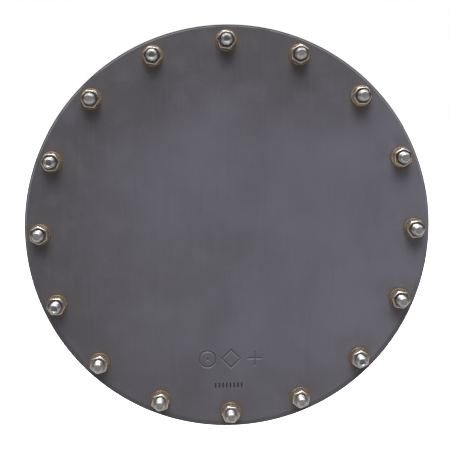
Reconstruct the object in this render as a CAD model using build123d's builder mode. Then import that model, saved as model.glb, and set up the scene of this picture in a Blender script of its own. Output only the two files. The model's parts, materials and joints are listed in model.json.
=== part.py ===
from build123d import *
import os
from math import cos, radians, sin, sqrt, tan

# Blind flange bolted over the open end of a pipe, millimetres.
# The flange axis is Y. The cover faces -Y, the pipe comes in from +Y, and +Z is up.
# The origin is on the axis, at the sealing face of the pipe's ring flange.

# Flange plates, 450 nominal bore, pressure class 6
FLANGE_D = 595.0
PLATE_THICKNESS = 24.0
RAISED_FACE_D = 520.0
RAISED_FACE_HEIGHT = 4.0
BOLT_CIRCLE_D = 550.0
BOLT_COUNT = 16
HOLE_D = 18.0
HOLE_CHAMFER = 0.6
PIPE_BORE_D = 462.0
FRONT_EDGE_RADIUS = 2.5
PLAIN_EDGE_CHAMFER = 1.0

# Gasket, a ring inside the bolts, cut a little wider than the pipe bore so that it stays out of it
GASKET_THICKNESS = 2.0
GASKET_D = 528.0
GASKET_BORE_D = 466.0

# M16 fasteners
BOLT_D = 16.0
BOLT_LENGTH = 80.0
BOLT_HEAD_HEIGHT = 10.0
BOLT_END_CHAMFER = 2.6
HEX_ACROSS_FLATS = 24.0
HEX_FACE_D = 21.8
HEX_CHAMFER_ANGLE = 30.0
NUT_HEIGHT = 13.0
NUT_RUNNING_CLEARANCE = 0.05
NUT_BORE_CHAMFER = 0.7
WASHER_D = 30.0
WASHER_BORE_D = 17.0
WASHER_THICKNESS = 3.0
WASHER_EDGE_CHAMFER = 0.5

# How far each tightened nut stopped past a corner pointing straight up,
# in degrees clockwise seen from the front, from the top nut clockwise
NUT_STOP_ANGLES = [-20, 0, 30, -4, 24, -19, 4, 6, -22, 12, 13, 30, -1, 28, -22, -20]
# Bolt heads differ by this much from one to the next
HEAD_STOP_STEP = 37.0

# Plain engraved symbols below the middle of the cover, and a row of tally strokes under them
MARK_DEPTH = 0.8
MARK_LINE = 3.6
MARK_DOT_R = 2.6
MARK_SIZE = 28.0
MARK_PITCH = 35.5
MARK_CENTRE_X = 1.8
MARK_CENTRE_Z = -193.5
TALLY_DEPTH = 0.5
TALLY_COUNT = 8
TALLY_PITCH = 5.6
TALLY_WIDTH = 2.2
TALLY_HEIGHT = 8.0
TALLY_CENTRE_X = -2.5
TALLY_CENTRE_Z = -234.0

# Places along the axis that follow from the sizes above
RING_FACE_Y = 0.0
RING_BACK_Y = RING_FACE_Y + PLATE_THICKNESS
COVER_BACK_Y = RING_FACE_Y - GASKET_THICKNESS
COVER_FRONT_Y = COVER_BACK_Y - PLATE_THICKNESS
WASHER_TOP_Y = COVER_FRONT_Y - WASHER_THICKNESS
HEX_CORNER_R = HEX_ACROSS_FLATS / sqrt(3)

PARTS_FOLDER = "parts"


def save(part, name):
    part.label = name
    export_step(part, f"{PARTS_FOLDER}/{name}.step")


def facing_front(y):
    """A plane square to the axis at y, with its normal to the front and its own y up."""
    return Plane(origin=(0, y, 0), x_dir=(1, 0, 0), z_dir=(0, -1, 0))


def fastener_plane(number, y, turn=0.0):
    """A front-facing plane on a bolt's axis, its own x at `turn` degrees clockwise from up.

    Fasteners are numbered from the top one, clockwise seen from the front.
    """
    place = radians(360.0 / BOLT_COUNT * (number - 1))
    radius = BOLT_CIRCLE_D / 2
    centre = (radius * sin(place), y, radius * cos(place))
    up = (sin(radians(turn)), 0, cos(radians(turn)))
    return Plane(origin=centre, x_dir=up, z_dir=(0, -1, 0))


def turning_plane(seat):
    """The half plane of a lathe profile: its x leaves the seat's axis and its y runs along it."""
    return Plane(origin=seat.origin, x_dir=seat.x_dir, z_dir=-seat.y_dir)


def make_flange_disc(back_y, raised_face_in_front, edge_radius):
    """A round plate with a raised face and bolt holes, filling its thickness in front of back_y."""
    body_back = back_y if raised_face_in_front else back_y - RAISED_FACE_HEIGHT
    body_thickness = PLATE_THICKNESS - RAISED_FACE_HEIGHT
    with BuildPart() as disc:
        with BuildSketch(facing_front(body_back)):
            Circle(FLANGE_D / 2)
            with PolarLocations(BOLT_CIRCLE_D / 2, BOLT_COUNT, start_angle=90):
                Circle(HOLE_D / 2, mode=Mode.SUBTRACT)
        extrude(amount=body_thickness)
        rings = disc.edges().filter_by(GeomType.CIRCLE)
        hole_edges = rings.filter_by(lambda edge: edge.radius < HOLE_D)
        rims = rings.filter_by(lambda edge: edge.radius > RAISED_FACE_D / 2).sort_by(Axis.Y)
        chamfer(hole_edges, HOLE_CHAMFER)
        if edge_radius:
            fillet(rims[0], edge_radius)
            chamfer(rims[-1], PLAIN_EDGE_CHAMFER)
        else:
            chamfer(rims, PLAIN_EDGE_CHAMFER)
        with BuildSketch(facing_front(back_y)):
            Circle(RAISED_FACE_D / 2)
        extrude(amount=PLATE_THICKNESS)
    return disc.part


def make_cover_plate():
    front = facing_front(COVER_FRONT_Y)
    half = MARK_SIZE / 2
    with BuildPart() as cover:
        add(make_flange_disc(COVER_BACK_Y, False, FRONT_EDGE_RADIUS))
        with BuildSketch(front):
            with Locations((MARK_CENTRE_X - MARK_PITCH, MARK_CENTRE_Z)):
                Circle(half)
                Circle(half - MARK_LINE, mode=Mode.SUBTRACT)
                Circle(MARK_DOT_R)
            with Locations((MARK_CENTRE_X, MARK_CENTRE_Z)):
                RegularPolygon(half * 1.15, 4)
                RegularPolygon(half * 1.15 - MARK_LINE * sqrt(2), 4, mode=Mode.SUBTRACT)
            with Locations((MARK_CENTRE_X + MARK_PITCH, MARK_CENTRE_Z)):
                Rectangle(MARK_SIZE * 0.85, MARK_LINE)
                Rectangle(MARK_LINE, MARK_SIZE * 0.85)
        extrude(amount=-MARK_DEPTH, mode=Mode.SUBTRACT)
        with BuildSketch(front):
            with Locations((TALLY_CENTRE_X, TALLY_CENTRE_Z)):
                with GridLocations(TALLY_PITCH, 0, TALLY_COUNT, 1):
                    Rectangle(TALLY_WIDTH, TALLY_HEIGHT)
        extrude(amount=-TALLY_DEPTH, mode=Mode.SUBTRACT)
    return cover.part


def make_mating_flange():
    """The ring flange that slips over the pipe, its raised face towards the cover."""
    with BuildPart() as ring:
        add(make_flange_disc(RING_BACK_Y, True, 0.0))
        with BuildSketch(facing_front(RING_BACK_Y)):
            Circle(PIPE_BORE_D / 2)
        extrude(amount=PLATE_THICKNESS, mode=Mode.SUBTRACT)
    return ring.part


def make_gasket():
    with BuildPart() as gasket:
        with BuildSketch(facing_front(RING_FACE_Y)):
            Circle(GASKET_D / 2)
            Circle(GASKET_BORE_D / 2, mode=Mode.SUBTRACT)
        extrude(amount=GASKET_THICKNESS)
    return gasket.part


def make_bolt(number):
    """A hex bolt from the back, its head on the ring flange and its end standing out in front."""
    seat = fastener_plane(number, RING_BACK_Y, HEAD_STOP_STEP * number)
    face_r = HEX_FACE_D / 2
    corner_drop = (HEX_CORNER_R - face_r) * tan(radians(HEX_CHAMFER_ANGLE))
    shank_r = BOLT_D / 2
    with BuildPart() as bolt:
        with BuildSketch(turning_plane(seat)):
            with BuildLine():
                Polyline(
                    (0, 0),
                    (HEX_CORNER_R, 0),
                    (HEX_CORNER_R, corner_drop - BOLT_HEAD_HEIGHT),
                    (face_r, -BOLT_HEAD_HEIGHT),
                    (0, -BOLT_HEAD_HEIGHT),
                    close=True,
                )
            make_face()
        revolve(axis=Axis(seat.origin, seat.z_dir))
        with BuildSketch(seat):
            RegularPolygon(HEX_ACROSS_FLATS / 2, 6, major_radius=False)
        extrude(amount=-BOLT_HEAD_HEIGHT, mode=Mode.INTERSECT)
        with BuildSketch(turning_plane(seat)):
            with BuildLine():
                Polyline(
                    (0, 0),
                    (shank_r, 0),
                    (shank_r, BOLT_LENGTH - BOLT_END_CHAMFER),
                    (shank_r - BOLT_END_CHAMFER, BOLT_LENGTH),
                    (0, BOLT_LENGTH),
                    close=True,
                )
            make_face()
        revolve(axis=Axis(seat.origin, seat.z_dir))
    return bolt.part


def make_washer(number):
    seat = fastener_plane(number, COVER_FRONT_Y)
    with BuildPart() as washer:
        with BuildSketch(seat):
            Circle(WASHER_D / 2)
            Circle(WASHER_BORE_D / 2, mode=Mode.SUBTRACT)
        extrude(amount=WASHER_THICKNESS)
        rims = washer.edges().filter_by(GeomType.CIRCLE).sort_by(Axis.Y)
        front_rims = rims.group_by(Axis.Y)[0]
        chamfer(front_rims.sort_by(SortBy.LENGTH)[-1], WASHER_EDGE_CHAMFER)
    return washer.part


def make_nut(number):
    """A hex nut chamfered on both faces. Its bore is plain, just clear of the bolt's thread."""
    seat = fastener_plane(number, WASHER_TOP_Y, NUT_STOP_ANGLES[number - 1])
    face_r = HEX_FACE_D / 2
    bore_r = BOLT_D / 2 + NUT_RUNNING_CLEARANCE
    corner_drop = (HEX_CORNER_R - face_r) * tan(radians(HEX_CHAMFER_ANGLE))
    with BuildPart() as nut:
        with BuildSketch(turning_plane(seat)):
            with BuildLine():
                Polyline(
                    (bore_r, NUT_BORE_CHAMFER),
                    (bore_r + NUT_BORE_CHAMFER, 0),
                    (face_r, 0),
                    (HEX_CORNER_R, corner_drop),
                    (HEX_CORNER_R, NUT_HEIGHT - corner_drop),
                    (face_r, NUT_HEIGHT),
                    (bore_r + NUT_BORE_CHAMFER, NUT_HEIGHT),
                    (bore_r, NUT_HEIGHT - NUT_BORE_CHAMFER),
                    close=True,
                )
            make_face()
        revolve(axis=Axis(seat.origin, seat.z_dir))
        with BuildSketch(seat):
            RegularPolygon(HEX_ACROSS_FLATS / 2, 6, major_radius=False)
        extrude(amount=NUT_HEIGHT, mode=Mode.INTERSECT)
    return nut.part


os.makedirs(PARTS_FOLDER, exist_ok=True)
save(make_cover_plate(), "cover_plate")
save(make_gasket(), "gasket")
save(make_mating_flange(), "mating_flange")
for number in range(1, BOLT_COUNT + 1):
    save(make_bolt(number), f"bolt_{number:02d}")
    save(make_washer(number), f"washer_{number:02d}")
    save(make_nut(number), f"nut_{number:02d}")
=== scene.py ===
"""Looks of the bolted blind flange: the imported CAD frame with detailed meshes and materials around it.

Everything is in metres in the row frame: the flange axis is Y, the cover faces -Y, +Z is up.
Fastener angles go clockwise from straight up, seen from the front.
"""

import json
import math
import random

import bmesh
import bpy
from mathutils import Matrix, Vector


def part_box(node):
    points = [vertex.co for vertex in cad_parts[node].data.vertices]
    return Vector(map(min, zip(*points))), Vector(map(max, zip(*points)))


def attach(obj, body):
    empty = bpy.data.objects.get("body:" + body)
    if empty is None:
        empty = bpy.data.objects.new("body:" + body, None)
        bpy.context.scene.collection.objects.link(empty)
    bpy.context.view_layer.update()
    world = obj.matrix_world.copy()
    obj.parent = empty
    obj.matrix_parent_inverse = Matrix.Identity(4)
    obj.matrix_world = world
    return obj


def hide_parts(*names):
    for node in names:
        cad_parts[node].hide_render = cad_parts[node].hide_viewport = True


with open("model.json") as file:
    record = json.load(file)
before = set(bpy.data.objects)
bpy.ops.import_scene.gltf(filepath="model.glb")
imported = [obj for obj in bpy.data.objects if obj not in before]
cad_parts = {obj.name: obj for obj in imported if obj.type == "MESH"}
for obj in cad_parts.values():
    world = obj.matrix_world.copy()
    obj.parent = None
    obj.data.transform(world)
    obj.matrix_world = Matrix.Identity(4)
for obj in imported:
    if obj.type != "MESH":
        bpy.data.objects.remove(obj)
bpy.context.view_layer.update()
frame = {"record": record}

MM = 0.001
TAU = 2 * math.pi

# Fasteners: what the frame doesn't hold. All bolts and nuts are M16
BOLT_COUNT = 16
BOLT_R = 8.0 * MM
HEX_APOTHEM = 12.0 * MM
THREAD_PITCH = 2.0 * MM
THREAD_DEPTH = 1.227 * MM
THREAD_CREST = 0.25 * MM
THREAD_LENGTH = 38.0 * MM
THREAD_RUNOUT = 3.0 * MM
THREAD_CLEARANCE = 0.14 * MM
ROWS_PER_TURN = 10
HEX_FACE_SHARE = 0.908
HEX_CHAMFER_SLOPE = math.tan(math.radians(30.0))
HEX_CORNER_ROUNDING = 0.8 * MM
PITTED_END_CHAMFER = 2.6 * MM
PLAIN_END_CHAMFER = 3.0 * MM
COUNTERSINK_R = 8.6 * MM
CONTACT_GAP = 0.02 * MM
PITTED_BOLTS = (1, 7, 12, 14, 16)
# Bolt ends in millimetres: how far inside the end's edge, and how deep
PLAIN_END = ((0.05, 0.0), (0.5, 0.03), (0.9, 0.14), (2.8, 0.3), (4.2, 0.32))
PITTED_END = ((0.05, 0.0), (0.4, 0.03), (0.7, 0.25), (1.3, 1.2), (1.5, 1.32), (3.9, 1.36))
# The dish in a bolt's head: share of the apothem, and how deep in millimetres
HEAD_DISH = ((0.45, 0.25), (0.62, 0.2), (0.68, 0.0))

# Plates: what the frame doesn't hold
HOLE_R = 9.0 * MM
HOLE_CHAMFER = 0.6 * MM
RAISED_FACE_R = 260.0 * MM
RAISED_FACE_HEIGHT = 4.0 * MM
FRONT_EDGE_R = 2.5 * MM
PLAIN_EDGE_CHAMFER = 1.0 * MM
PLATE_SHARP_DEGREES = 25.0
GASKET_BORE_R = 233.0 * MM

# Engraved symbols and tally strokes
MARK_DEPTH = 0.8 * MM
MARK_SIZE = 28.0 * MM
MARK_LINE = 3.6 * MM
MARK_DOT_R = 2.6 * MM
MARK_PITCH = 35.5 * MM
MARK_CENTRE_X = 1.8 * MM
MARK_CENTRE_Z = -193.5 * MM
TALLY_DEPTH = 0.5 * MM
TALLY_COUNT = 8
TALLY_WIDTH = 2.2 * MM
TALLY_HEIGHT = 8.0 * MM
TALLY_PITCH = 5.6 * MM
TALLY_CENTRE_X = -2.5 * MM
TALLY_CENTRE_Z = -234.0 * MM


# ---------------------------------------------------------------- frame measures

def centre_of(node):
    low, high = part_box(node)
    return (Vector(low) + Vector(high)) / 2


def span(node, axis):
    low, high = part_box(node)
    return low[axis], high[axis]


def fastener_place(number):
    """(x, z) of a bolt's axis, from its CAD washer, which is round."""
    centre = centre_of(f"washer_{number:02d}")
    return centre.x, centre.z


def corner_angle(node, x, z):
    """The angle of one corner of a CAD hexagon about (x, z)."""
    points = [v.co for v in bpy.data.objects[node].data.vertices]
    far = max(points, key=lambda p: (p.x - x) ** 2 + (p.z - z) ** 2)
    return math.atan2(far.x - x, far.z - z)


cover_front, cover_back = span("cover_plate", 1)
ring_front, ring_back = span("mating_flange", 1)
plate_r = span("cover_plate", 0)[1]
washer_r = (span("washer_01", 0)[1] - span("washer_01", 0)[0]) / 2
bolt_circle_r = Vector(fastener_place(1)).length
head_top = span("bolt_01", 1)[1]
bolt_tip = span("bolt_01", 1)[0]
nut_base = span("nut_01", 1)[1]
nut_height = nut_base - span("nut_01", 1)[0]
bore_r = frame["record"]["mounts"][0]["dims"]["r_mm"] * MM


# ---------------------------------------------------------------- mesh helpers

def finish_mesh(name, mesh, body, material, nodes):
    """Puts a new mesh in the scene, riding on its body and standing for its CAD nodes."""
    piece = bpy.data.objects.new(name, mesh)
    bpy.context.scene.collection.objects.link(piece)
    mesh.materials.append(material)
    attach(piece, body)
    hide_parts(*nodes)
    return piece


def mesh_from(name, vertices, faces, sharp_degrees=35.0):
    mesh = bpy.data.meshes.new(name)
    mesh.from_pydata(vertices, [], faces)
    work = bmesh.new()
    work.from_mesh(mesh)
    bmesh.ops.remove_doubles(work, verts=work.verts, dist=1e-7)
    bmesh.ops.recalc_face_normals(work, faces=work.faces)
    work.to_mesh(mesh)
    work.free()
    mesh.shade_smooth()
    mesh.set_sharp_from_angle(angle=math.radians(sharp_degrees))
    return mesh


def smooth_step(value, low, high):
    share = min(max((value - low) / (high - low), 0.0), 1.0)
    return share * share * (3 - 2 * share)


def note_on_vertices(mesh, name, measure):
    """Keeps a number from 0 to 1 on every vertex, worked out from its place, for the materials."""
    layer = mesh.attributes.new(name, "FLOAT", "POINT")
    layer.data.foreach_set("value", [measure(vertex.co) for vertex in mesh.vertices])


def turned(loops, angles, place, closed_profile):
    """Vertices and faces of a shape turned about an axis along Y through place = (x, z).

    loops is a list of functions of the angle, each giving (radius, y). Between one loop and the
    next is a band of faces. An open profile gets a flat cap at each end.
    """
    x0, z0 = place
    count = len(angles)
    vertices = []
    for loop in loops:
        for angle in angles:
            radius, y = loop(angle)
            vertices.append((x0 + radius * math.sin(angle), y, z0 + radius * math.cos(angle)))
    faces = []
    bands = len(loops) if closed_profile else len(loops) - 1
    for band in range(bands):
        a = band * count
        b = (band + 1) % len(loops) * count
        for i in range(count):
            j = (i + 1) % count
            faces.append((a + i, a + j, b + j, b + i))
    if not closed_profile:
        faces.append(tuple(range(count)))
        faces.append(tuple(range((len(loops) - 1) * count, len(loops) * count)))
    return vertices, faces


def fixed(radius, y):
    """A loop that is the same all the way round."""
    return lambda angle: (radius, y)


def even_angles(count):
    return [TAU * i / count for i in range(count)]


def rounded_corner(start, corner, end, steps=4):
    """Points of a rounded profile corner, a quadratic curve from start to end."""
    points = []
    for i in range(steps + 1):
        t = i / steps
        p = [(1 - t) ** 2 * s + 2 * t * (1 - t) * c + t * t * e for s, c, e in zip(start, corner, end)]
        points.append(tuple(p))
    return points


# ---------------------------------------------------------------- fastener shapes

def hex_angles(corner):
    """Angles round a hexagon, close together at its corners."""
    half_side = [0.0, 0.7, 1.4, 2.2, 3.5, 6.0, 10.0, 15.0, 20.0, 25.0]
    steps = sorted({s for d in half_side for s in (d, -d)} | {30.0})
    return [corner + math.radians(60.0 * side + step) for side in range(6) for step in steps]


def hex_radius(angle, corner):
    """The radius of the rounded hexagon at an angle."""
    off_corner = (angle - corner + math.pi / 6) % (math.pi / 3) - math.pi / 6
    off_flat = math.pi / 6 - abs(off_corner)
    rounding = HEX_CORNER_ROUNDING
    tangent = math.atan((HEX_APOTHEM - rounding) * math.tan(math.pi / 6) / HEX_APOTHEM)
    if off_flat < tangent:
        return HEX_APOTHEM / math.cos(off_flat)
    arc_centre = (HEX_APOTHEM - rounding) / math.cos(math.pi / 6)
    across = arc_centre * math.sin(off_corner)
    return arc_centre * math.cos(off_corner) + math.sqrt(max(rounding ** 2 - across ** 2, 0.0))


def hex_loops(corner, base_y, top_y, chamfer_base):
    """Loops up the outside of a hexagon from base_y to top_y, with its chamfer at the top."""
    out = 1.0 if top_y > base_y else -1.0
    face_r = HEX_APOTHEM * HEX_FACE_SHARE
    soft = 0.22 * MM
    within_chamfer = 0.9 * MM
    within_face = 0.8 * MM

    def side(end_y, inward, chamfered, lift):
        def loop(angle):
            radius = hex_radius(angle, corner)
            drop = (radius - face_r) * HEX_CHAMFER_SLOPE if chamfered else 0.0
            return radius - lift, end_y + inward * (drop + (soft if lift == 0.0 else lift * 0.5))
        return loop

    def chamfer_edge(end_y, inward, inside=1.6 * soft):
        def loop(angle):
            radius = max(hex_radius(angle, corner) - inside, face_r + 1.2 * soft)
            drop = (radius - face_r) * HEX_CHAMFER_SLOPE
            return radius, end_y + inward * drop
        return loop

    loops = []
    if chamfer_base:
        loops.append(fixed(face_r - within_face, base_y))
        loops.append(fixed(face_r - soft, base_y))
        loops.append(fixed(face_r + soft, base_y + out * soft * HEX_CHAMFER_SLOPE))
        loops.append(chamfer_edge(base_y, out, within_chamfer))
        loops.append(chamfer_edge(base_y, out))
        loops.append(side(base_y, out, True, 0.35 * soft))
        loops.append(side(base_y, out, True, 0.0))
    else:
        loops.append(side(base_y, out, False, soft))
        loops.append(side(base_y, out, False, 0.0))
    loops.append(side(top_y, -out, True, 0.0))
    loops.append(side(top_y, -out, True, 0.35 * soft))
    loops.append(chamfer_edge(top_y, -out))
    loops.append(chamfer_edge(top_y, -out, within_chamfer))
    loops.append(fixed(face_r + soft, top_y - out * soft * HEX_CHAMFER_SLOPE))
    loops.append(fixed(face_r - soft, top_y))
    loops.append(fixed(face_r - within_face, top_y))
    return loops


def hex_wear(x, z, corner, ends):
    """How worn a hexagon is at a point: its outer edges at the given ends, and its upright corners."""
    face_r = HEX_APOTHEM * HEX_FACE_SHARE

    def measure(point):
        angle = math.atan2(point.x - x, point.z - z)
        radius = math.hypot(point.x - x, point.z - z)
        edge_r = hex_radius(angle, corner)
        drop = (edge_r - face_r) * HEX_CHAMFER_SLOPE
        off_corner = abs((angle - corner + math.pi / 6) % (math.pi / 3) - math.pi / 6)
        along_side = 0.45 + 0.55 * smooth_step(off_corner * radius, 0.3 * MM, 1.4 * MM)
        worn = 0.0
        for end_y, inward in ends:
            from_edge = math.hypot(radius - edge_r, point.y - (end_y + inward * drop))
            worn = max(worn, along_side * (1.0 - smooth_step(from_edge, 0.4 * MM, 0.95 * MM)))
        if radius > HEX_APOTHEM:
            worn = max(worn, 0.5 * (1.0 - smooth_step(off_corner * radius, 0.3 * MM, 0.9 * MM)))
        return worn
    return measure


def thread_depth_at(angle, y, start):
    """How deep the thread groove is at this place, 0 on the crest. start is the bolt's own phase.

    A right-hand thread: turning anticlockwise seen from the front, the crest comes forward.
    """
    phase = (-y / THREAD_PITCH + angle / TAU + start) % 1.0
    off_crest = abs(phase - 0.5) * THREAD_PITCH
    flank = THREAD_DEPTH * math.tan(math.radians(30.0))
    share = (off_crest - THREAD_CREST / 2) / flank
    return THREAD_DEPTH * min(max(share, 0.0), 1.0)


def bolt_mesh(number):
    """A bolt from its head at the back to its cut thread and chamfered end in front."""
    x, z = fastener_place(number)
    node = f"bolt_{number:02d}"
    corner = corner_angle(node, x, z)
    angles = hex_angles(corner)
    start = number * 0.37 % 1.0
    thread_end = bolt_tip + THREAD_LENGTH
    root_fillet = 0.8 * MM
    pitted = number in PITTED_BOLTS
    end_chamfer = PITTED_END_CHAMFER if pitted else PLAIN_END_CHAMFER

    def thread_loop(y):
        def loop(angle):
            depth = thread_depth_at(angle, y, start)
            depth *= min(1.0, max(0.0, (thread_end - y) / THREAD_RUNOUT))
            from_tip = min(1.0, (y - bolt_tip) / end_chamfer)
            chamfer_r = BOLT_R - end_chamfer * (1.0 - from_tip) ** 1.3
            return min(BOLT_R - depth, chamfer_r), y
        return loop

    head = hex_loops(corner, ring_back, head_top, False)
    loops = [fixed(HEX_APOTHEM * share, head_top - depth * MM) for share, depth in HEAD_DISH]
    loops += reversed(head)
    loops += [fixed(BOLT_R + root_fillet, ring_back)]
    loops += [fixed(BOLT_R + 0.2 * MM, ring_back - 0.25 * root_fillet)]
    loops += [fixed(BOLT_R, ring_back - root_fillet), fixed(BOLT_R, thread_end)]
    rows = round((THREAD_LENGTH - 0.2 * MM) / THREAD_PITCH * ROWS_PER_TURN)
    step = (THREAD_LENGTH - 0.2 * MM) / rows
    loops += [thread_loop(thread_end - step * (i + 1)) for i in range(rows)]
    end_r = BOLT_R - end_chamfer
    profile = PITTED_END if pitted else PLAIN_END
    loops += [fixed(end_r - inside * MM, bolt_tip + depth * MM) for inside, depth in profile]
    vertices, faces = turned(loops, angles, (x, z), False)
    mesh = mesh_from(f"Bolt_{number:02d}", vertices, faces)
    note_on_vertices(mesh, "wear", hex_wear(x, z, corner, [(head_top, -1.0)]))
    behind_end = bolt_tip + 1.6 * MM

    def within(point, limit):
        return point.y < behind_end and math.hypot(point.x - x, point.z - z) < limit

    def on_end_face(point):
        return (0.12 if pitted else 1.0) * within(point, end_r - 0.02 * MM)

    def in_pit(point):
        return float(pitted and within(point, end_r - 1.35 * MM))

    note_on_vertices(mesh, "end_face", on_end_face)
    note_on_vertices(mesh, "pit", in_pit)
    return mesh


def nut_mesh(number):
    """A nut threaded in step with its bolt."""
    x, z = fastener_place(number)
    corner = corner_angle(f"nut_{number:02d}", x, z)
    angles = hex_angles(corner)
    start = number * 0.37 % 1.0
    top = nut_base - nut_height

    def bore_loop(y):
        def loop(angle):
            radius = BOLT_R - thread_depth_at(angle, y, start) + THREAD_CLEARANCE
            from_end = min(nut_base - y, y - top)
            return max(radius, COUNTERSINK_R - from_end * 1.4), y
        return loop

    loops = [fixed(COUNTERSINK_R, nut_base)]
    loops += hex_loops(corner, nut_base, top, True)
    loops += [fixed(COUNTERSINK_R, top)]
    rows = round(nut_height / THREAD_PITCH * ROWS_PER_TURN)
    loops += [bore_loop(top + nut_height * i / rows) for i in range(1, rows)]
    vertices, faces = turned(loops, angles, (x, z), True)
    mesh = mesh_from(f"Nut_{number:02d}", vertices, faces)
    note_on_vertices(mesh, "wear", hex_wear(x, z, corner, [(top, 1.0), (nut_base, -1.0)]))

    def on_front(point):
        radius = math.hypot(point.x - x, point.z - z)
        edge_r = hex_radius(math.atan2(point.x - x, point.z - z), corner)
        return float(point.y < top + 2.0 * MM and radius < edge_r - 0.3 * MM)

    note_on_vertices(mesh, "front", on_front)
    return mesh


def washer_mesh(number):
    """A stamped washer: rolled over at its front edges, square and slightly torn behind."""
    rng = random.Random(100 + number)
    place = fastener_place(number)
    front, back = span(f"washer_{number:02d}", 1)
    front += CONTACT_GAP
    inner = 8.6 * MM
    roll = 0.7 * MM
    nick = 0.12 * MM
    profile = [(inner + nick, back), (washer_r - nick, back), (washer_r, back - nick)]
    profile += rounded_corner((washer_r, front + roll), (washer_r, front), (washer_r - roll, front))
    profile += [(washer_r - 2 * roll, front), (inner + 2 * roll, front)]
    profile += rounded_corner((inner + 0.4 * MM, front), (inner, front), (inner, front + 0.4 * MM))
    profile += [(inner, back - nick)]
    phase = rng.uniform(0, TAU)

    def uneven(radius, y):
        edge = radius > washer_r - 1.5 * roll

        def loop(angle):
            wobble = 0.05 * MM * (math.sin(3 * angle + phase) - 1.0) if edge else 0.0
            return radius + wobble, y
        return loop

    loops = [uneven(radius, y) for radius, y in profile]
    vertices, faces = turned(loops, even_angles(72), place, True)
    mesh = mesh_from(f"Washer_{number:02d}", vertices, faces)

    def near_rim(point):
        radius = math.hypot(point.x - place[0], point.z - place[1])
        return smooth_step(radius, washer_r - 0.9 * MM, washer_r - 0.3 * MM)

    note_on_vertices(mesh, "wear", near_rim)
    return mesh


# ---------------------------------------------------------------- plates and gasket

def disc_object(name, profile, closed_profile, steps=360):
    loops = [fixed(radius, y) for radius, y in profile]
    vertices, faces = turned(loops, even_angles(steps), (0.0, 0.0), closed_profile)
    mesh = mesh_from(name, vertices, faces, PLATE_SHARP_DEGREES)
    made = bpy.data.objects.new(name, mesh)
    bpy.context.scene.collection.objects.link(made)
    return made


def cut(target, cutter):
    """Takes the cutter's shape out of the target and deletes the cutter."""
    change = target.modifiers.new("cut", "BOOLEAN")
    change.operation = "DIFFERENCE"
    change.solver = "EXACT"
    change.object = cutter
    depsgraph = bpy.context.evaluated_depsgraph_get()
    depsgraph.update()
    result = bpy.data.meshes.new_from_object(target.evaluated_get(depsgraph))
    target.modifiers.remove(change)
    target.data = result
    bpy.data.objects.remove(cutter)


def joined_cutter(name, parts):
    """One cutter object of several closed (vertices, faces) parts."""
    vertices, faces = [], []
    for part_vertices, part_faces in parts:
        base = len(vertices)
        vertices += part_vertices
        faces += [tuple(base + i for i in face) for face in part_faces]
    made = bpy.data.objects.new(name, mesh_from(name, vertices, faces))
    bpy.context.scene.collection.objects.link(made)
    return made


def mesh_of(made):
    """The mesh of a working object, which is deleted."""
    mesh = made.data
    bpy.data.objects.remove(made)
    mesh.shade_smooth()
    mesh.set_sharp_from_angle(angle=math.radians(PLATE_SHARP_DEGREES))
    mesh.materials.clear()
    return mesh


def hole_cutters(front, back):
    """Cutters for the bolt holes of a plate from front to back, with small chamfers at both mouths."""
    beyond = 1.0 * MM
    mouth_r = HOLE_R + HOLE_CHAMFER + beyond
    profile = [
        (mouth_r, front - beyond),
        (HOLE_R, front + HOLE_CHAMFER),
        (HOLE_R, back - HOLE_CHAMFER),
        (mouth_r, back + beyond),
    ]
    loops = [fixed(radius, y) for radius, y in profile]
    places = [fastener_place(number) for number in range(1, BOLT_COUNT + 1)]
    return joined_cutter("holes", [turned(loops, even_angles(48), place, False) for place in places])


def lofted(levels):
    """A closed solid through (outline, y) levels, every outline with as many (x, z) points."""
    count = len(levels[0][0])
    vertices = [(x, y, z) for outline, y in levels for x, z in outline]
    faces = [tuple(range(count)), tuple(range(len(vertices) - count, len(vertices)))]
    for level in range(len(levels) - 1):
        a, b = level * count, (level + 1) * count
        faces += [(a + i, a + (i + 1) % count, b + (i + 1) % count, b + i) for i in range(count)]
    return vertices, faces


def lofted_frame(levels):
    """A closed ring-shaped solid through (outer outline, inner outline, y) levels."""
    count = len(levels[0][0])
    vertices = []
    for outer, inner, y in levels:
        vertices += [(x, y, z) for x, z in [*outer, *inner]]
    faces = []
    last = len(vertices) - 2 * count
    for i in range(count):
        j = (i + 1) % count
        for level in range(len(levels) - 1):
            a, b = level * 2 * count, (level + 1) * 2 * count
            faces.append((a + i, a + j, b + j, b + i))
            faces.append((a + count + i, a + count + j, b + count + j, b + count + i))
        faces.append((i, j, count + j, count + i))
        faces.append((last + i, last + j, last + count + j, last + count + i))
    return vertices, faces


def polygon(centre, radius, sides):
    x, z = centre
    turns = [TAU * i / sides for i in range(sides)]
    return [(x + radius * math.sin(turn), z + radius * math.cos(turn)) for turn in turns]


def rectangle(centre, half_width, half_height):
    x, z = centre
    signs = [(-1, -1), (1, -1), (1, 1), (-1, 1)]
    return [(x + half_width * i, z + half_height * j) for i, j in signs]


def cross(centre, arm, half_line):
    x, z = centre
    a, b = arm, half_line
    corners = [(b, b), (a, b), (a, -b), (b, -b), (b, -a), (-b, -a)]
    corners += [(-b, -b), (-a, -b), (-a, b), (-b, b), (-b, a), (b, a)]
    return [(x + i, z + j) for i, j in corners]


def groove_steps(depth, half_line, half_floor):
    """(y, how far the groove's side is out of its line at the surface) above and at its floor."""
    slope = (half_line - half_floor) / depth
    above = 0.4 * MM
    return [(cover_front - above, above * slope), (cover_front + depth, half_floor - half_line)]


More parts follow.
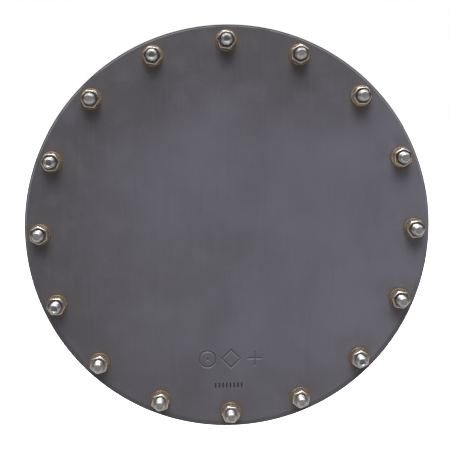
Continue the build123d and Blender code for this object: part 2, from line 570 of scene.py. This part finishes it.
def mark_cutters():
    """V-cut symbols and tally strokes, on the lines of the CAD cover's engraving."""
    half = MARK_LINE / 2
    left, middle, right = [(MARK_CENTRE_X + MARK_PITCH * i, MARK_CENTRE_Z) for i in (-1, 0, 1)]
    steps = groove_steps(MARK_DEPTH, half, 0.15 * MM)
    ring_r = MARK_SIZE / 2
    diamond_r = MARK_SIZE / 2 * 1.15
    corner = math.sqrt(2)

    def ring_level(y, d):
        return polygon(left, ring_r + d, 96), polygon(left, ring_r - MARK_LINE - d, 96), y

    def diamond_level(y, d):
        inner_r = diamond_r - (MARK_LINE + d) * corner
        return polygon(middle, diamond_r + d * corner, 4), polygon(middle, inner_r, 4), y

    parts = [
        lofted_frame([ring_level(y, d) for y, d in steps]),
        lofted([(polygon(left, MARK_DOT_R + d, 48), y) for y, d in steps]),
        lofted_frame([diamond_level(y, d) for y, d in steps]),
        lofted([(cross(right, MARK_SIZE * 0.425 + d, half + d), y) for y, d in steps]),
    ]
    half_width, half_height = TALLY_WIDTH / 2, TALLY_HEIGHT / 2
    stroke_steps = groove_steps(TALLY_DEPTH, half_width, 0.5 * MM)
    for i in range(TALLY_COUNT):
        centre = (TALLY_CENTRE_X + TALLY_PITCH * (i - (TALLY_COUNT - 1) / 2), TALLY_CENTRE_Z)
        levels = [(rectangle(centre, half_width + d, half_height + d), y) for y, d in stroke_steps]
        parts.append(lofted(levels))
    return joined_cutter("marks", parts)


def cover_plate_piece(material):
    edge = FRONT_EDGE_R
    back_edge = PLAIN_EDGE_CHAMFER
    body_back = cover_back - RAISED_FACE_HEIGHT
    profile = [(RAISED_FACE_R * 0.5, cover_front), (plate_r - edge - 0.6 * MM, cover_front)]
    profile += [(plate_r - edge, cover_front)]
    profile += [
        (plate_r - edge + edge * math.sin(a), cover_front + edge - edge * math.cos(a))
        for a in (math.pi / 2 * i / 8 for i in range(1, 9))
    ]
    profile += [(plate_r, body_back - back_edge), (plate_r - back_edge, body_back)]
    profile += [(RAISED_FACE_R + 0.5 * MM, body_back), (RAISED_FACE_R, body_back + 0.5 * MM)]
    profile += [(RAISED_FACE_R, cover_back - 0.4 * MM), (RAISED_FACE_R - 0.4 * MM, cover_back)]
    profile += [(RAISED_FACE_R * 0.5, cover_back)]
    disc = disc_object("cover_disc", profile, False)
    cut(disc, hole_cutters(cover_front, body_back))
    cut(disc, mark_cutters())
    return finish_mesh("Cover_plate", mesh_of(disc), "cover", material, ["cover_plate"])


def ring_flange_piece(material):
    edge = PLAIN_EDGE_CHAMFER
    body_front = ring_front + RAISED_FACE_HEIGHT
    profile = [(bore_r, ring_front + 0.6 * MM), (bore_r + 0.6 * MM, ring_front)]
    profile += [(RAISED_FACE_R - 0.4 * MM, ring_front), (RAISED_FACE_R, ring_front + 0.4 * MM)]
    profile += [(RAISED_FACE_R, body_front - 0.5 * MM), (RAISED_FACE_R + 0.5 * MM, body_front)]
    profile += [(plate_r - edge, body_front), (plate_r, body_front + edge)]
    profile += [(plate_r, ring_back - edge), (plate_r - edge, ring_back)]
    profile += [(bore_r + edge, ring_back), (bore_r, ring_back - edge)]
    disc = disc_object("ring_disc", profile, True)
    cut(disc, hole_cutters(body_front, ring_back))
    return finish_mesh("Ring_flange", mesh_of(disc), "flange_ring", material, ["mating_flange"])


def gasket_piece(material):
    low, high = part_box("gasket")
    inner, outer = GASKET_BORE_R, high[0]
    front, back = low[1], high[1]
    middle = (front + back) / 2
    bulge, shallow, from_face = 0.35 * MM, 0.1 * MM, 0.4 * MM
    profile = [(inner + bulge, front), (outer - bulge, front)]
    profile += [(outer - shallow, front + from_face), (outer, middle), (outer - shallow, back - from_face)]
    profile += [(outer - bulge, back), (inner + bulge, back)]
    profile += [(inner + shallow, back - from_face), (inner, middle), (inner + shallow, front + from_face)]
    ring = disc_object("gasket_ring", profile, True)
    return finish_mesh("Gasket", mesh_of(ring), "flange_ring", material, ["gasket"])


# ---------------------------------------------------------------- materials

class NodeHand:
    """Short ways to add nodes to a tree. A value is a number, a (red, green, blue) colour or a socket."""

    def __init__(self, tree):
        self.tree = tree

    def put(self, socket, value):
        if isinstance(value, bpy.types.NodeSocket):
            self.tree.links.new(value, socket)
        elif isinstance(value, tuple):
            socket.default_value = (*value, 1.0)
        else:
            socket.default_value = value

    def attribute(self, name):
        node = self.tree.nodes.new("ShaderNodeAttribute")
        node.attribute_name = name
        return node.outputs["Fac"]

    def maths(self, operation, a, b=0.0, clamp=False):
        node = self.tree.nodes.new("ShaderNodeMath")
        node.operation = operation
        node.use_clamp = clamp
        self.put(node.inputs[0], a)
        self.put(node.inputs[1], b)
        return node.outputs[0]

    def product(self, first, *others):
        for other in others:
            first = self.maths("MULTIPLY", first, other)
        return first

    def total(self, first, *others):
        for other in others:
            first = self.maths("ADD", first, other)
        return first

    def between(self, value, low, high):
        """0 below low, 1 above high, smooth between. low may be the larger, and then it is 1 below high."""
        node = self.tree.nodes.new("ShaderNodeMapRange")
        node.interpolation_type = "SMOOTHSTEP"
        self.put(node.inputs["Value"], value)
        bounds = (low, high, 0.0, 1.0) if low < high else (high, low, 1.0, 0.0)
        for name, number in zip(("From Min", "From Max", "To Min", "To Max"), bounds):
            node.inputs[name].default_value = number
        return node.outputs[0]

    def mix(self, share, a, b):
        """Colour a where share is 0, b where it is 1."""
        node = self.tree.nodes.new("ShaderNodeMix")
        node.data_type = "RGBA"
        self.put(node.inputs["Factor"], share)
        self.put(node.inputs["A"], a)
        self.put(node.inputs["B"], b)
        return node.outputs["Result"]

    def choose_for_camera(self, output_type, unseen, seen):
        """Shows the camera one shader and everything else the other. For the surroundings only."""
        path = self.tree.nodes.new("ShaderNodeLightPath")
        chooser = self.tree.nodes.new("ShaderNodeMixShader")
        output = next((n for n in self.tree.nodes if n.bl_idname == output_type), None)
        output = output or self.tree.nodes.new(output_type)
        self.put(chooser.inputs[0], path.outputs["Is Camera Ray"])
        self.put(chooser.inputs[1], unseen)
        self.put(chooser.inputs[2], seen)
        self.put(output.inputs[0], chooser.outputs[0])


class Shader(NodeHand):
    """One node material, its patterns placed by the row frame."""

    def __init__(self, name):
        self.material = bpy.data.materials.new(name)
        self.material.use_nodes = True
        super().__init__(self.material.node_tree)
        self.surface = self.tree.nodes["Principled BSDF"]
        self.coordinates = self.tree.nodes.new("ShaderNodeTexCoord").outputs["Object"]

    def stretched(self, scale):
        """The object coordinates scaled by (x, y, z)."""
        node = self.tree.nodes.new("ShaderNodeMapping")
        self.put(node.inputs["Vector"], self.coordinates)
        node.inputs["Scale"].default_value = scale
        return node.outputs[0]

    def noise(self, size, detail=3.0, roughness=0.55, stretch=(1, 1, 1), distortion=0.0):
        """Noise from 0 to 1, its features about `size` metres across."""
        node = self.tree.nodes.new("ShaderNodeTexNoise")
        self.put(node.inputs["Vector"], self.stretched([s / size for s in stretch]))
        node.inputs["Scale"].default_value = 1.0
        node.inputs["Detail"].default_value = detail
        node.inputs["Roughness"].default_value = roughness
        node.inputs["Distortion"].default_value = distortion
        return node.outputs["Fac"]

    def cells(self, size):
        node = self.tree.nodes.new("ShaderNodeTexVoronoi")
        self.put(node.inputs["Vector"], self.stretched([1 / size] * 3))
        node.inputs["Scale"].default_value = 1.0
        return node.outputs["Distance"]

    def split(self, vector):
        node = self.tree.nodes.new("ShaderNodeSeparateXYZ")
        self.put(node.inputs[0], vector)
        return node.outputs[0], node.outputs[1], node.outputs[2]

    def place(self):
        """The (x, y, z) sockets of the object coordinates."""
        return self.split(self.coordinates)

    def facing_up(self):
        """How far the surface leans to face up (+1) or down (-1)."""
        return self.split(self.coordinates.node.outputs["Normal"])[2]

    def length(self, a, b):
        return self.maths("SQRT", self.total(self.product(a, a), self.product(b, b)))

    def from_axis(self):
        """Distance from the flange axis."""
        x, _, z = self.place()
        return self.length(x, z)

    def from_bolt(self):
        """(right, up, distance) measured from the nearest bolt's axis."""
        x, _, z = self.place()
        sector = TAU / BOLT_COUNT
        turn = self.maths("ARCTAN2", x, z)
        nearest = self.product(self.maths("ROUND", self.maths("DIVIDE", turn, sector)), sector)
        right = self.maths("SUBTRACT", x, self.product(self.maths("SINE", nearest), bolt_circle_r))
        up = self.maths("SUBTRACT", z, self.product(self.maths("COSINE", nearest), bolt_circle_r))
        return right, up, self.length(right, up)

    def bump(self, height, distance, before=None):
        node = self.tree.nodes.new("ShaderNodeBump")
        node.inputs["Distance"].default_value = distance
        node.inputs["Strength"].default_value = 1.0
        self.put(node.inputs["Height"], height)
        if before is not None:
            self.put(node.inputs["Normal"], before)
        return node.outputs[0]

    def set(self, **values):
        names = {"colour": "Base Color", "roughness": "Roughness", "metallic": "Metallic", "normal": "Normal"}
        for key, value in values.items():
            self.put(self.surface.inputs[names[key]], value)
        return self.material


def weathered_paint(s, patch):
    """Dark satin primer in the open, clouded, streaked and specked.

    Random clouds make it browner and darker in places. Over them lies a painted light falloff: lighter and
    bluer to the right and in the middle, painted shade to the left, at the top and outwards.
    """
    x, _, z = s.place()
    cloud = s.noise(0.14, 3.0, 0.55, distortion=0.4)
    # Painted light falloff: painted shade outwards and at the top, lighter to the right, darker to the left
    outer = s.product(s.between(s.from_axis(), 0.16, 0.28), 0.09)
    upper = s.product(s.between(z, 0.10, 0.25), 0.17)
    painted_light_right = s.product(x, s.maths("ABSOLUTE", x), 3.4)
    age_and_painted_light = s.maths("SUBTRACT", s.total(s.product(cloud, 0.42), outer, upper, 0.045), painted_light_right)
    colour = s.mix(s.between(age_and_painted_light, 0.07, 0.50), (0.121, 0.116, 0.141), (0.071, 0.065, 0.075))
    colour = s.mix(s.product(s.between(patch, 0.45, 0.7), 0.35), colour, (0.115, 0.113, 0.133))
    streak = s.noise(0.003, 3.0, 0.6, stretch=(1.0, 1.0, 0.04))
    colour = s.mix(s.product(s.between(streak, 0.5, 0.8), 0.22), colour, (0.124, 0.120, 0.131))
    colour = s.mix(s.product(s.between(streak, 0.5, 0.2), 0.25), colour, (0.079, 0.073, 0.081))
    dark_speck = s.between(s.noise(0.0011, 2.0, 0.6), 0.62, 0.8)
    colour = s.mix(s.product(dark_speck, 0.3), colour, (0.075, 0.071, 0.07))
    pale_speck = s.between(s.noise(0.0017, 2.0), 0.70, 0.78)
    return s.mix(s.product(pale_speck, 0.35), colour, (0.2, 0.19, 0.185))


def washer_stains(s, colour):
    """Stained paint round each washer, dark brown runs with painted shade below it, and a rusty ring:
    (colour, where the runs and their painted shade are).
    """
    right, up, distance = s.from_bolt()
    stain = s.product(s.between(distance, 0.05, 0.016), s.between(s.noise(0.025, 3.0), 0.35, 0.65))
    colour = s.mix(s.product(stain, 0.45), colour, (0.082, 0.070, 0.066))
    # Below each washer: dark brown run-off mixed with painted shade from the washer and nut
    off_centre = s.total(s.maths("ABSOLUTE", right), s.product(s.noise(0.012, 2.0), 0.008))
    below_washer = s.product(s.between(up, -0.042, -0.014), s.between(up, 0.004, -0.006))
    grime_and_shade = s.product(s.between(off_centre, 0.022, 0.008), below_washer, 0.45)
    colour = s.mix(grime_and_shade, colour, (0.050, 0.043, 0.038))
    halo = s.product(s.between(distance, 0.0205, 0.0155), s.between(s.noise(0.006, 3.0), 0.25, 0.65))
    return s.mix(s.product(halo, 0.75), colour, (0.115, 0.074, 0.044)), grime_and_shade


def rim_marks(s, colour, radius, y, z):
    """Painted highlight along the upper front edge, painted shade along the lower one, and a painted line of
    shade outside.

    Gives (colour, where the painted shade line is).
    """
    # Painted highlight: pale colour on the upper rounding of the front edge, where light from above catches
    # it
    worn = s.product(
        s.between(radius, plate_r - 3.4 * MM, plate_r - 2.8 * MM),
        s.between(radius, plate_r - 1.6 * MM, plate_r - 1.9 * MM),
        s.between(s.noise(0.04, 4.0), 0.3, 0.5),
        s.between(z, -0.10, 0.10),
    )
    colour = s.mix(s.product(worn, 0.8), colour, (0.24, 0.235, 0.25))
    # Painted shade: a dark band along the lower part of the front edge
    low_edge_shade = s.product(
        s.between(radius, plate_r - 8.0 * MM, plate_r - 6.6 * MM),
        s.between(z, -0.02, -0.16),
        s.between(y, cover_front + 8.0 * MM, cover_front + 3.0 * MM),
    )
    colour = s.mix(s.product(low_edge_shade, 0.6), colour, (0.045, 0.042, 0.045))
    # Painted shade: a nearly black line on the outer part of the edge's rounding
    painted_shade_line = s.product(
        s.between(radius, plate_r - 1.8 * MM, plate_r - 1.4 * MM),
        s.between(y, cover_front + 4.0 * MM, cover_front + 2.4 * MM),
    )
    return s.mix(s.product(painted_shade_line, 0.92), colour, (0.010, 0.009, 0.010)), painted_shade_line


def engraving_tones(s, colour, radius, y, z):
    """Dirt on the engraving's floor, painted shade on its downward walls, a painted highlight on its upward
    walls, black tally strokes.
    """
    cut_in = s.product(
        s.between(y, cover_front + 0.03 * MM, cover_front + 0.15 * MM),
        s.between(y, cover_front + 6.0 * MM, cover_front + 5.0 * MM),
        s.between(radius, RAISED_FACE_R + 2.0 * MM, RAISED_FACE_R),
    )
    at_floor = s.between(y, cover_front + 0.5 * MM, cover_front + 0.8 * MM)
    colour = s.mix(s.product(cut_in, at_floor, 0.7), colour, (0.04, 0.038, 0.042))
    # Painted shade on the walls that face down, a painted highlight on the walls that face up
    facing_up = s.facing_up()
    painted_shade_down = s.product(cut_in, s.between(facing_up, -0.12, -0.3))
    colour = s.mix(s.product(painted_shade_down, 0.75), colour, (0.022, 0.020, 0.022))
    painted_light_up = s.product(cut_in, s.between(facing_up, 0.12, 0.3))
    colour = s.mix(s.product(painted_light_up, 0.45), colour, (0.20, 0.195, 0.205))
    tally_top = TALLY_CENTRE_Z + TALLY_HEIGHT / 2
    in_tally = s.between(z, tally_top + 8.0 * MM, tally_top + 4.0 * MM)
    return s.mix(s.product(cut_in, in_tally), colour, (0.008, 0.007, 0.007))


def bare_steel(s, radius, y, patch, bare_from, bare_to):
    """Turned steel with rust in places: (where it shows, its colour, where it is rusty)."""
    shown = s.product(
        s.between(y, bare_from - 0.1 * MM, bare_from + 0.1 * MM),
        s.between(radius, RAISED_FACE_R + 0.6 * MM, RAISED_FACE_R + 0.2 * MM),
        s.between(y, bare_to + 0.1 * MM, bare_to - 0.1 * MM),
    )
    rust = s.product(s.between(s.noise(0.022, 6.0, 0.65), 0.56, 0.68), 0.6)
    steel = s.mix(s.between(patch, 0.4, 0.7), (0.46, 0.45, 0.44), (0.33, 0.30, 0.27))
    return shown, s.mix(rust, steel, (0.17, 0.09, 0.045)), rust


def paint_material(name, bare_from, bare_to):
    """Weathered dark satin primer, a fine spray coat over a slightly wavy rolled plate.

    Inside the raised face's radius, what lies between bare_from and bare_to along the axis is bare
    turned steel.
    """
    s = Shader(name)
    _, y, z = s.place()
    radius = s.from_axis()
    patch = s.noise(0.035, 5.0, 0.6)
    colour, grime_and_shade = washer_stains(s, weathered_paint(s, patch))
    colour, painted_shade_line = rim_marks(s, colour, radius, y, z)
    colour = engraving_tones(s, colour, radius, y, z)
    bare, steel, rust = bare_steel(s, radius, y, patch, bare_from, bare_to)
    colour = s.mix(bare, colour, steel)
    metal = s.product(bare, s.maths("SUBTRACT", 0.95, rust))
    # Roughness: more on the painted shade line, the side and the runs below the washers, less on bare steel
    on_side = s.between(radius, plate_r - 0.4 * MM, plate_r - 0.2 * MM)
    painted = s.total(s.product(s.noise(0.02, 4.0), 0.2), 0.42)
    painted = s.maths("ADD", painted, s.product(painted_shade_line, 0.4), clamp=True)
    painted = s.maths("ADD", painted, s.product(on_side, 0.35), clamp=True)
    on_steel = s.total(s.product(rust, 0.5), 0.28)
    rough = s.total(painted, s.product(s.maths("SUBTRACT", on_steel, painted), bare))
    rough = s.maths("ADD", rough, s.product(grime_and_shade, 0.2), clamp=True)
    # Relief: spray texture, waves, turning grooves on bare steel, and lines across the side
    normal = s.bump(s.noise(0.0014, 3.0, 0.6), 0.05 * MM)
    normal = s.bump(s.noise(0.011, 2.0), 0.12 * MM, before=normal)
    groove = s.maths("SINE", s.product(radius, TAU / (0.8 * MM)))
    normal = s.bump(s.product(groove, bare), 0.04 * MM, before=normal)
    edge_lines = s.product(s.noise(0.0009, 2.0, stretch=(0.05, 1.0, 0.05)), on_side)
    normal = s.bump(edge_lines, 0.10 * MM, before=normal)
    return s.set(colour=colour, roughness=rough, metallic=metal, normal=normal)


def zinc_base(s, clean, aged, dirt, aged_share):
    """Zinc plating with cloudy ageing, a fine spangle and dirt specks: (colour, extra roughness)."""
    blotch = s.noise(0.0045, 4.0, 0.6)
    share = s.between(blotch, 0.62 - aged_share, 0.86 - aged_share)
    share = s.maths("ADD", share, s.product(s.cells(0.0013), 0.12), clamp=True)
    specks = s.product(s.between(s.noise(0.0010, 3.0), 0.58, 0.74), 0.5)
    return s.mix(specks, s.mix(share, clean, aged), dirt), s.product(blotch, 0.2)


def metal_grain(s, depth):
    scratch = s.noise(0.0004, 2.0, stretch=(1.0, 0.06, 1.0))
    return s.bump(scratch, depth / 3, before=s.bump(s.noise(0.0008, 3.0), depth))


def bolt_material():
    """Zinc, bright on the end's chamfer, with dirt in the thread, greyer and lathe-ringed on the end face,
    with painted shade in a ring where the chamfer meets the thread and in the pitted ends' hollows.
    """
    s = Shader("bolt_zinc")
    colour, extra = zinc_base(s, (0.57, 0.57, 0.57), (0.40, 0.39, 0.38), (0.15, 0.135, 0.12), 0.18)
    _, y, _ = s.place()
    _, _, distance = s.from_bolt()
    end = s.attribute("end_face")
    behind_chamfer = s.between(y, bolt_tip + 2.2 * MM, bolt_tip + 3.4 * MM)
    colour = s.mix(s.product(behind_chamfer, 0.5), colour, (0.30, 0.305, 0.34))
    # Painted shade: a dark ring where the end's chamfer meets the thread
    groove = s.product(
        s.between(distance, BOLT_R - 0.25 * MM, BOLT_R - 0.9 * MM),
        s.between(y, bolt_tip + 1.6 * MM, bolt_tip + 2.8 * MM),
    )
    colour = s.mix(s.product(groove, 0.8), colour, (0.13, 0.12, 0.11))
    end_share = s.between(s.noise(0.002, 3.0), 0.35, 0.65)
    colour = s.mix(end, colour, s.mix(end_share, (0.34, 0.325, 0.305), (0.23, 0.22, 0.205)))
    # Painted shade in the hollows of the pitted ends
    colour = s.mix(s.product(s.attribute("pit"), 0.8), colour, (0.10, 0.098, 0.10))
    colour = s.mix(s.product(s.attribute("wear"), 0.5), colour, (0.85, 0.84, 0.82))
    rough = s.maths("ADD", s.total(extra, 0.28), s.product(end, 0.04), clamp=True)
    metal = s.maths("SUBTRACT", 1.0, s.product(end, 0.25))
    rings = s.product(s.maths("SINE", s.product(distance, TAU / (0.55 * MM))), end)
    normal = s.bump(rings, 0.006 * MM, before=metal_grain(s, 0.03 * MM))
    return s.set(colour=colour, roughness=rough, metallic=metal, normal=normal)


def nut_material():
    """Yellowed zinc gone dark, bright where the hexagon's edges are rubbed.

    The front faces carry painted shade on the upper nuts and painted light on the lowest ones, and painted
    shade darkens the bore's mouth.
    """
    s = Shader("nut_zinc")
    colour, extra = zinc_base(s, (0.22, 0.185, 0.145), (0.135, 0.105, 0.075), (0.045, 0.034, 0.024), 0.2)
    _, _, z = s.place()
    front = s.attribute("front")
    # Painted shade on the front faces of the upper nuts, painted light on those of the lowest nuts
    painted_shade_upper = s.product(front, s.between(z, -0.18, 0.02))
    colour = s.mix(s.product(painted_shade_upper, 0.3), colour, (0.085, 0.070, 0.054))
    clean = s.product(front, s.between(z, -0.10, -0.22))
    colour = s.mix(s.product(clean, 0.6), colour, (0.50, 0.44, 0.36))
    worn = s.product(s.attribute("wear"), s.between(s.noise(0.003, 3.0), 0.2, 0.45))
    colour = s.mix(worn, colour, (0.95, 0.90, 0.84))
    _, _, distance = s.from_bolt()
    # Painted shade in the bore's mouth round the bolt
    inside = s.between(distance, 8.9 * MM, 8.5 * MM)
    colour = s.mix(s.product(inside, 0.3), colour, (0.08, 0.07, 0.06))
    rough = s.maths("SUBTRACT", s.total(extra, 0.28), s.product(worn, 0.06), clamp=True)
    return s.set(colour=colour, roughness=rough, metallic=1.0, normal=metal_grain(s, 0.03 * MM))


def washer_material():
    """Flat yellow-brown zinc, dull and slightly rusty, brighter on its rolled rim."""
    s = Shader("washer_zinc")
    colour, extra = zinc_base(s, (0.27, 0.21, 0.145), (0.165, 0.12, 0.078), (0.08, 0.052, 0.032), 0.2)
    rust = s.product(s.between(s.noise(0.007, 4.0, 0.65), 0.5, 0.7), 0.5)
    colour = s.mix(rust, colour, (0.20, 0.11, 0.055))
    # Painted shade from the nut on the lower left of each washer, and a painted gold highlight there on the
    # two at the upper right
    x, _, z = s.place()
    right, up, _ = s.from_bolt()
    low = s.between(s.total(up, s.product(right, 0.45)), 0.003, -0.011)
    low = s.product(low, s.between(s.noise(0.009, 3.0), 0.2, 0.5))
    painted_glint = s.product(s.between(x, 0.165, 0.185), s.between(z, 0.07, 0.09))
    shade_and_glint_colour = s.mix(painted_glint, (0.09, 0.06, 0.035), (0.52, 0.36, 0.17))
    colour = s.mix(s.product(low, s.total(s.product(painted_glint, 0.2), 0.45)), colour, shade_and_glint_colour)
    colour = s.mix(s.product(s.attribute("wear"), 0.45), colour, (0.46, 0.36, 0.24))
    rough = s.maths("ADD", extra, 0.42, clamp=True)
    return s.set(colour=colour, roughness=rough, metallic=0.8, normal=metal_grain(s, 0.04 * MM))


def gasket_material():
    """Compressed fibre sheet, nearly black, its fibres showing on the cut edge."""
    s = Shader("gasket_sheet")
    fibre = s.noise(0.0014, 4.0, stretch=(1.0, 4.0, 1.0))
    colour = s.mix(s.between(fibre, 0.4, 0.7), (0.022, 0.023, 0.024), (0.05, 0.05, 0.048))
    rough = s.total(s.product(fibre, 0.25), 0.6)
    return s.set(colour=colour, roughness=rough, normal=s.bump(fibre, 0.05 * MM))


# ---------------------------------------------------------------- studio

def camera():
    """At the photographed viewing place: a little above and to the left of the flange axis."""
    place = Vector((-45.6, cover_front / MM - 1253.8, 171.7)) * MM
    pan, tilt, roll = math.radians(1.860), math.radians(-7.388), math.radians(0.737)
    ahead = Vector((math.sin(pan) * math.cos(tilt), math.cos(pan) * math.cos(tilt), math.sin(tilt)))
    right = Vector((math.cos(pan), -math.sin(pan), 0.0))
    up = right.cross(ahead)
    turned_right = math.cos(roll) * right - math.sin(roll) * up
    turned_up = math.sin(roll) * right + math.cos(roll) * up
    data = bpy.data.cameras.new("camera")
    data.sensor_width = 36.0
    data.lens = 68.928
    data.clip_start, data.clip_end = 0.05, 50.0
    made = bpy.data.objects.new("camera", data)
    bpy.context.scene.collection.objects.link(made)
    axes = Matrix((turned_right, turned_up, -ahead)).transposed().to_4x4()
    made.matrix_world = Matrix.Translation(place) @ axes
    bpy.context.scene.camera = made


def softbox(name, place, target, width, height, power, colour=(1.0, 1.0, 1.0)):
    data = bpy.data.lights.new(name, "AREA")
    data.shape = "RECTANGLE"
    data.size, data.size_y = width, height
    data.energy = power
    data.color = colour
    made = bpy.data.objects.new(name, data)
    made.location = place
    made.rotation_euler = (Vector(target) - Vector(place)).to_track_quat("-Z", "Y").to_euler()
    bpy.context.scene.collection.objects.link(made)


def room():
    """Light from the room: dim all round, brighter from above in front. The camera sees white."""
    world = bpy.data.worlds.new("room")
    bpy.context.scene.world = world
    world.use_nodes = True
    s = NodeHand(world.node_tree)
    s.tree.nodes.clear()
    direction = s.tree.nodes.new("ShaderNodeTexCoord").outputs["Generated"]
    split = s.tree.nodes.new("ShaderNodeSeparateXYZ")
    s.put(split.inputs[0], direction)
    up = split.outputs["Z"]
    high = s.product(s.between(up, 0.45, 0.68), s.between(up, 1.05, 0.85))
    in_front = s.between(split.outputs["Y"], 0.35, -0.15)
    lit = s.product(high, s.total(s.product(in_front, 0.75), 0.25))
    colour = s.mix(lit, (0.09, 0.088, 0.095), (1.5, 1.55, 1.65))
    unseen = s.tree.nodes.new("ShaderNodeBackground")
    s.put(unseen.inputs["Color"], colour)
    seen = s.tree.nodes.new("ShaderNodeBackground")
    s.put(seen.inputs["Color"], (1.0, 1.0, 1.0))
    s.choose_for_camera("ShaderNodeOutputWorld", unseen.outputs[0], seen.outputs[0])


def floor():
    """A pale floor, well below the flange, that meets the white surround with no line."""
    s = Shader("floor")
    tone = s.mix(s.noise(0.5, 2.0), (0.84, 0.84, 0.84), (0.88, 0.88, 0.88))
    s.set(colour=tone, roughness=0.9)
    s.put(s.surface.inputs["Emission Color"], (1.0, 1.0, 1.0))
    s.put(s.surface.inputs["Emission Strength"], 0.85)
    unseen = s.tree.nodes.new("ShaderNodeBsdfDiffuse")
    s.put(unseen.inputs["Color"], (0.46, 0.455, 0.45))
    s.choose_for_camera("ShaderNodeOutputMaterial", unseen.outputs[0], s.surface.outputs[0])
    half, level = 40.0, -0.62
    corners = [(x * half, y * half, level) for x, y in ((-1, -1), (1, -1), (1, 1), (-1, 1))]
    mesh = bpy.data.meshes.new("floor")
    mesh.from_pydata(corners, [], [(0, 1, 2, 3)])
    mesh.materials.append(s.material)
    made = bpy.data.objects.new("floor", mesh)
    bpy.context.scene.collection.objects.link(made)


def lights():
    softbox("key", (-0.2, -3.5, 5.1), (0, 0, 0), 3.2, 3.4, 305.0, (1.0, 0.99, 0.97))
    softbox("back_fill", (1.5, 4.2, 2.6), (0, 0, 0), 2.4, 2.0, 210.0)


# ---------------------------------------------------------------- the model

bpy.context.scene.view_settings.view_transform = "Standard"
camera()
room()
floor()
lights()

cover_paint = paint_material("cover_paint", cover_back - RAISED_FACE_HEIGHT + 0.3 * MM, cover_back + MM)
ring_paint = paint_material("ring_paint", ring_front - MM, ring_front + RAISED_FACE_HEIGHT - 0.3 * MM)
bolt_zinc = bolt_material()
nut_zinc = nut_material()
washer_zinc = washer_material()

cover_plate_piece(cover_paint)
ring_flange_piece(ring_paint)
gasket_piece(gasket_material())
for number in range(1, BOLT_COUNT + 1):
    tag = f"{number:02d}"
    bolt, washer, nut = f"bolt_{tag}", f"washer_{tag}", f"nut_{tag}"
    finish_mesh(f"Bolt_{tag}", bolt_mesh(number), "flange_ring", bolt_zinc, [bolt])
    finish_mesh(f"Washer_{tag}", washer_mesh(number), washer, washer_zinc, [washer])
    finish_mesh(f"Nut_{tag}", nut_mesh(number), nut, nut_zinc, [nut])
